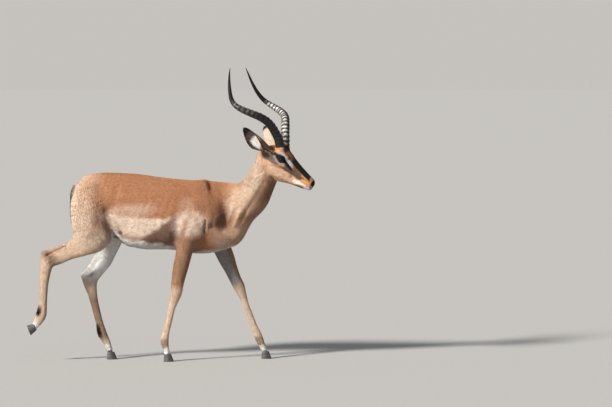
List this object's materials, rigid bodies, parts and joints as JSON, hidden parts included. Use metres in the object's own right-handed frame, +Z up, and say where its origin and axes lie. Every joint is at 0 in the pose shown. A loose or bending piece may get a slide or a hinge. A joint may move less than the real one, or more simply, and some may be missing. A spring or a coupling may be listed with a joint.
{
  "type": "male black-faced impala, life-size still model",
  "caption": "Life-size still model of a male black-faced impala in mid stride, its head turned a little to the right, with ringed lyre-shaped horns.",
  "frame": {"origin": "on the floor, under the middle of the box that holds the whole animal", "axes": "+X the way it walks, +Y its left, +Z up"},
  "size_m": [1.4356, 0.4382, 1.462],
  "materials": {
    "coat": "short, flat, glossy hair: reddish tan above, paler tan on the flank, white below",
    "horn": "ridged dark horn, grey on the ridges, smooth and darker to the tips",
    "hoof": "dark grey horn, satin",
    "eye": "wet, nearly black brown"
  },
  "bodies": {
    "root": {"trunk": "coat", "neck": "coat", "head": "coat", "tail": "coat", "leg_front_right": "coat", "leg_front_left": "coat", "leg_hind_right": "coat", "leg_hind_left": "coat", "ear_right": "coat", "ear_left": "coat", "horn_right": "horn", "horn_left": "horn", "hoof_front_right_outer": "hoof", "hoof_front_right_inner": "hoof", "hoof_front_left_outer": "hoof", "hoof_front_left_inner": "hoof", "hoof_hind_right_outer": "hoof", "hoof_hind_right_inner": "hoof", "hoof_hind_left_outer": "hoof", "hoof_hind_left_inner": "hoof", "eye_right": "eye", "eye_left": "eye"}
  },
  "joints": []
}
